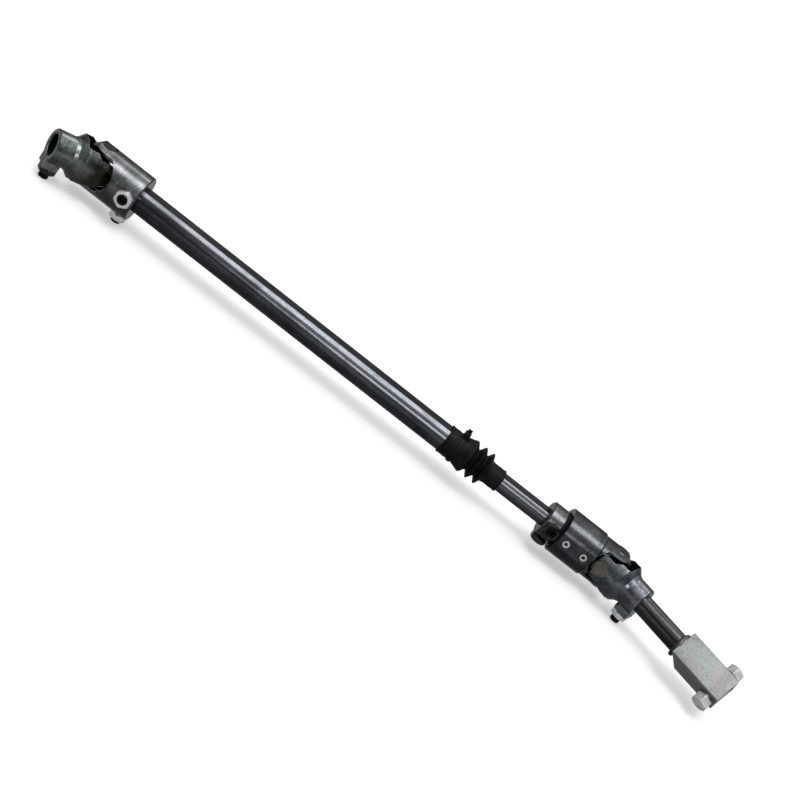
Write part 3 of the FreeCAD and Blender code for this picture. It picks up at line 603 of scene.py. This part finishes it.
def boot():
    """The boot as one closed skin, with its outside and its inside."""
    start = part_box("boot")[0].x
    outside = eased_outline(BOOT_OUTLINE)
    inside = [(x, r - BOOT_WALL, f - BOOT_WALL) for x, r, f in reversed(outside)]
    rings = [double_d_ring(x, r, f, BOOT_SIDES) for x, r, f in outside + inside]
    points, faces = skin(rings, closed_along=True)
    made = piece("boot_bellows", points, faces, FINISHES["boot"])
    move_to(made, Vector((start, UPPER.y, UPPER.z)), X, Y)
    made.data.set_sharp_from_angle(angle=math.radians(BOOT_SHARP_DEG))
    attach(made, "tube")
    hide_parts("boot")


# ---- cable tie --------------------------------------------------------------------------------
TIE_FROM_BOOT = 13.6
TIE_WIDTH = 4.0
TIE_THICKNESS = 1.05
TIE_RADIUS, TIE_FLAT = 13.82, 11.86
TIE_TEETH = 66
TIE_RIB = 0.12
TIE_EDGE = 0.35
TIE_SHOULDER = 0.75
TIE_CORNER = 0.35
TIE_HEAD_GAP = 0.2
TIE_SHARP_DEG = 50
TIE_BEVEL_DEG = 40
TIE_BEVEL_SEGMENTS = 3
# name; size along, across and up; how much wider its top is; foot across and above the collar; how
# far its top leans; how far its edges are rounded
TIE_BLOCKS = (
    ("tie_head", (5.0, 6.2, 6.0), 0.16, (0.0, 0.0), 0.0, 0.5),
    ("tie_lock_rim", (4.2, 4.6, 0.6), -0.1, (0.3, 5.9), 0.0, 0.15),
    ("tie_cut_tail", (4.0, 1.2, 3.4), 0.04, (0.5, 5.8), 0.25, 0.2),
)


def tie_strap():
    """The strap: a soft-edged band with fine cross ribs round the boot's collar."""
    half, sides = TIE_WIDTH / 2, 4 * TIE_TEETH
    inner = half - TIE_EDGE
    section = ((-half, 0.0), (-half, TIE_SHOULDER), (-inner, 1.0),
               (inner, 1.0), (half, TIE_SHOULDER), (half, 0.0))
    loops = []
    for across, lift in section:
        height = lift * TIE_THICKNESS
        loop = double_d_ring(across, TIE_RADIUS + height, TIE_FLAT + height, sides, TIE_CORNER)
        if lift == 1.0:
            for i, point in enumerate(loop):
                rib = TIE_RIB if i % 4 < 2 else 0.0
                point.yz = point.yz * (1 - rib / point.yz.length)
        loops.append(loop)
    return skin(loops, closed_along=True)


def tie_block(sizes, taper, foot, lean):
    """A block standing on foot, its top wider than its foot by the taper, top tilted by lean."""
    length, width, height = sizes
    points = []
    for level, grow in ((0.0, 1.0), (0.5, 1.0 + taper / 2), (1.0, 1.0 + taper)):
        for sx, sy in ((-1, -1), (1, -1), (1, 1), (-1, 1)):
            drop = lean * sy * level
            points.append(Vector((foot[0] + sx * length / 2 * grow,
                                  foot[1] + sy * width / 2 * grow,
                                  foot[2] + height * level - drop)))
    faces = [(3, 2, 1, 0), (8, 9, 10, 11)]
    for row in (0, 4):
        faces += [(row + i, row + (i + 1) % 4, row + 4 + (i + 1) % 4, row + 4 + i) for i in range(4)]
    return points, faces


def soften(made, width):
    """Rounds every hard edge of a piece."""
    bevel = made.modifiers.new("soft_edges", "BEVEL")
    bevel.width = width * MM
    bevel.segments = TIE_BEVEL_SEGMENTS
    bevel.limit_method = "ANGLE"
    bevel.angle_limit = math.radians(TIE_BEVEL_DEG)


def cable_tie():
    """The tie round the boot: strap, head, lock rim and cut tail."""
    at = Vector((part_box("boot")[0].x + TIE_FROM_BOOT * MM, UPPER.y, UPPER.z))
    top = TIE_FLAT + TIE_HEAD_GAP
    shapes = {"tie_strap": (tie_strap(), 0.0)}
    for name, sizes, taper, (across, up), lean, round_by in TIE_BLOCKS:
        shapes[name] = (tie_block(sizes, taper, (0, across, top + up), lean), round_by)
    for name, ((points, faces), round_by) in shapes.items():
        made = piece(name, points, faces, FINISHES["boot_tie"])
        move_to(made, at, X, Y)
        if round_by:
            soften(made, round_by)
        made.data.set_sharp_from_angle(angle=math.radians(TIE_SHARP_DEG))
        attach(made, "tube")
        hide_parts("boot_tie")


# ---- coupler ----------------------------------------------------------------------------------
CORNER_CUT_SLOPE = 0.45
COUPLER_SHARP_DEG = 30
MERGE_M, ON_PLANE_M = 1e-6, 1e-7


def coupler():
    """The coupler's CAD mesh, with the corners of its two flanks cut on a slant at the stub's end."""
    source = frame["nodes"]["column_coupler"]
    front = LOWER_AXIS.cross(Z)
    outward = Z * math.cos(COUPLER_LEAN) + front * math.sin(COUPLER_LEAN)
    sideways = front * math.cos(COUPLER_LEAN) - Z * math.sin(COUPLER_LEAN)
    shape = bmesh.new()
    shape.from_mesh(source.data)
    shape.transform(source.matrix_world)
    bmesh.ops.remove_doubles(shape, verts=shape.verts, dist=MERGE_M)
    for flank in (sideways, -sideways):
        corner = (LOWER_AXIS * COUPLER_START + flank * COUPLER_WIDTH / 2
                  + outward * COUPLER_DEPTH / 2)
        slant = flank - outward * CORNER_CUT_SLOPE - LOWER_AXIS
        everything = shape.verts[:] + shape.edges[:] + shape.faces[:]
        cut = bmesh.ops.bisect_plane(shape, geom=everything, dist=ON_PLANE_M, clear_outer=True,
                                     plane_co=LOWER + corner * MM, plane_no=slant.normalized())
        rim = [edge for edge in cut["geom_cut"] if isinstance(edge, bmesh.types.BMEdge)]
        bmesh.ops.triangle_fill(shape, edges=rim, use_beauty=True, use_dissolve=False)
    bmesh.ops.recalc_face_normals(shape, faces=shape.faces)
    mesh = bpy.data.meshes.new("coupler_body")
    shape.to_mesh(mesh)
    shape.free()
    mesh.materials.append(FINISHES["column_coupler"])
    mesh.shade_smooth()
    mesh.set_sharp_from_angle(angle=math.radians(COUPLER_SHARP_DEG))
    made = bpy.data.objects.new("coupler_body", mesh)
    bpy.context.scene.collection.objects.link(made)
    flatten = made.modifiers.new("flat_faces", "WEIGHTED_NORMAL")
    flatten.keep_sharp = True
    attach(made, "lower_yoke")
    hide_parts("column_coupler")


# ---- weld bead at the coupler -----------------------------------------------------------------
BEAD_RIPPLES = 34
BEAD_SIDES = 272
BEAD_SECTION = 14
BEAD_RADIUS = 1.9
BEAD_RIPPLE = 0.3
BEAD_UNEVEN = 0.12
BEAD_WANDER, BEAD_WAVER = 0.25, 0.15
BEAD_SET_BACK = 1.5
BEAD_STAND_OFF = 1.15
BEAD_FLATTENED = 0.85


def weld_bead():
    """A rippled bead round the stub, on the weld that joins it to the coupler."""
    rings = []
    for i in range(BEAD_SIDES):
        angle = 2 * math.pi * i / BEAD_SIDES
        phase = (BEAD_RIPPLES * i / BEAD_SIDES) % 1.0
        uneven = BEAD_UNEVEN * math.sin(3 * angle + 0.7)
        swell = BEAD_RADIUS + BEAD_RIPPLE * (1 - (2 * phase - 1) ** 2) + uneven
        wander = BEAD_WANDER * math.sin(2 * angle) + BEAD_WAVER * math.sin(5 * angle + 1.0)
        ring = []
        for j in range(BEAD_SECTION):
            turn = 2 * math.pi * j / BEAD_SECTION
            along = COUPLER_START - BEAD_SET_BACK + wander + swell * math.cos(turn)
            out = STUB_RADIUS + BEAD_STAND_OFF + BEAD_FLATTENED * swell * math.sin(turn)
            ring.append(Vector((along, out * math.cos(angle), out * math.sin(angle))))
        rings.append(ring)
    points, faces = skin(rings, closed_along=True)
    made = piece("coupler_weld_bead", points, faces, FINISHES["weld"])
    move_to(made, LOWER, LOWER_AXIS, Z.cross(LOWER_AXIS))
    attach(made, "lower_yoke")


# ---- floor, lights and camera -----------------------------------------------------------------
FLOOR_RADIUS_M = 7.0
RIM_RADIUS_M = 1.5
FLOOR_SIDES = 96
FLOOR_SHARES = (0.15, 0.4, 0.7, 1.0)
RIM_STEP_DEG = 9
FLOOR_DIM, FLOOR_BRIGHT = (0.55, 0.55, 0.55), (0.59, 0.59, 0.59)
FLOOR_GLOW = 0.42
FLOOR_ROUGH, FLOOR_SHINE = 0.9, 0.1
# brightness of the sky, from straight down (0) past the horizon (0.5) to straight up (1)
SKY_STOPS = ((0.0, 0.14), (0.22, 0.24), (0.38, 0.46), (0.46, 0.50),
             (0.56, 0.14), (0.70, 0.16), (0.85, 0.70), (1.0, 1.30))
SKY_BLUE = 1.01
# name, direction towards the light, strength, how wide it looks in degrees
SUNS = (
    ("overhead_softbox", (0.04, -0.30, 1.0), 1.40, 33.0),
    ("front_strip", (0.10, -1.0, 0.42), 0.34, 15.0),
    ("rear_strip", (-0.10, 1.0, 1.70), 0.28, 16.0),
)
CAMERA_AZIMUTH = -5.15
CAMERA_ELEVATION = 21.28
CAMERA_ROLL = 39.97
CAMERA_DISTANCE_M = 1.2004
CAMERA_TARGET_M = Vector((-0.0022, 0.0320, 0.0325))
CAMERA_LENS, CAMERA_SENSOR = 61.58, 36.0
CAMERA_CLIP_M = 100.0


def floor():
    """A pale disc whose rim curves up all round.

    It glows a little, to lighten the shadow, and metals don't mirror it.
    """
    graph = Graph("floor_pale")
    tone = graph.noise(graph.place, 3.0, 3.0)
    graph.feed(graph.shader.inputs["Base Color"], graph.mix(tone, FLOOR_DIM, FLOOR_BRIGHT))
    graph.feed(graph.shader.inputs["Emission Color"], (1.0, 1.0, 1.0))
    graph.shader.inputs["Emission Strength"].default_value = FLOOR_GLOW
    graph.shader.inputs["Roughness"].default_value = FLOOR_ROUGH
    graph.shader.inputs["Specular IOR Level"].default_value = FLOOR_SHINE
    outline = [(FLOOR_RADIUS_M * share, 0.0) for share in FLOOR_SHARES]
    for degrees in range(RIM_STEP_DEG, 91, RIM_STEP_DEG):
        rise = math.radians(degrees)
        outline.append((FLOOR_RADIUS_M + RIM_RADIUS_M * math.sin(rise),
                        RIM_RADIUS_M * (1 - math.cos(rise))))
    angles = [2 * math.pi * i / FLOOR_SIDES for i in range(FLOOR_SIDES)]
    rings = [[Vector((r * math.cos(angle), r * math.sin(angle), z)) / MM for angle in angles]
             for r, z in outline]
    points, faces = skin(rings)
    faces = [tuple(reversed(face)) for face in faces]
    capped(points, faces, Vector((0, 0, 0)), 0, FLOOR_SIDES, False)
    made = piece("floor", points, faces, graph.material)
    made.visible_glossy = False


def sky():
    """Soft light in bands by height: brightest overhead, dark just above the horizon."""
    world = bpy.data.worlds.new("soft_sky")
    bpy.context.scene.world = world
    world.use_nodes = True
    tree = world.node_tree
    tree.nodes.clear()
    where = tree.nodes.new("ShaderNodeTexCoord")
    split = tree.nodes.new("ShaderNodeSeparateXYZ")
    height = tree.nodes.new("ShaderNodeMapRange")
    ramp = tree.nodes.new("ShaderNodeValToRGB")
    shade = tree.nodes.new("ShaderNodeBackground")
    out = tree.nodes.new("ShaderNodeOutputWorld")
    tree.links.new(where.outputs["Generated"], split.inputs["Vector"])
    tree.links.new(split.outputs["Z"], height.inputs["Value"])
    height.inputs["From Min"].default_value = -1.0
    tree.links.new(height.outputs["Result"], ramp.inputs["Fac"])
    tree.links.new(ramp.outputs["Color"], shade.inputs["Color"])
    tree.links.new(shade.outputs["Background"], out.inputs["Surface"])
    while len(ramp.color_ramp.elements) < len(SKY_STOPS):
        ramp.color_ramp.elements.new(0.5)
    for element, (position, value) in zip(ramp.color_ramp.elements, SKY_STOPS):
        element.position = position
        element.color = (value, value, value * SKY_BLUE, 1.0)
    shade.inputs["Strength"].default_value = 1.0


def sun(name, towards, strength, spread):
    """A far, wide light shining from the direction towards."""
    light = bpy.data.lights.new(name, "SUN")
    light.energy = strength
    light.angle = math.radians(spread)
    made = bpy.data.objects.new(name, light)
    made.rotation_euler = Vector(towards).to_track_quat("Z", "Y").to_euler()
    bpy.context.scene.collection.objects.link(made)


def lights():
    sky()
    for name, towards, strength, spread in SUNS:
        sun(name, towards, strength, spread)


def camera():
    data = bpy.data.cameras.new("camera")
    data.sensor_width = CAMERA_SENSOR
    data.lens = CAMERA_LENS
    data.clip_end = CAMERA_CLIP_M
    azimuth, elevation = math.radians(CAMERA_AZIMUTH), math.radians(CAMERA_ELEVATION)
    back = Vector((math.sin(azimuth) * math.cos(elevation),
                   -math.cos(azimuth) * math.cos(elevation), math.sin(elevation)))
    made = bpy.data.objects.new("camera", data)
    level = back.to_track_quat("Z", "Y").to_matrix().to_4x4()
    made.matrix_world = (Matrix.Translation(CAMERA_TARGET_M + back * CAMERA_DISTANCE_M) @ level
                         @ Matrix.Rotation(math.radians(CAMERA_ROLL), 4, "Z"))
    bpy.context.scene.collection.objects.link(made)
    bpy.context.scene.camera = made


def view_settings():
    view = bpy.context.scene.view_settings
    view.view_transform = "Standard"
    view.look = "None"
    view.exposure = 0.0


paint_frame()
set_screws()
boot()
cable_tie()
coupler()
weld_bead()
floor()
lights()
camera()
view_settings()

bpy.context.view_layer.update()
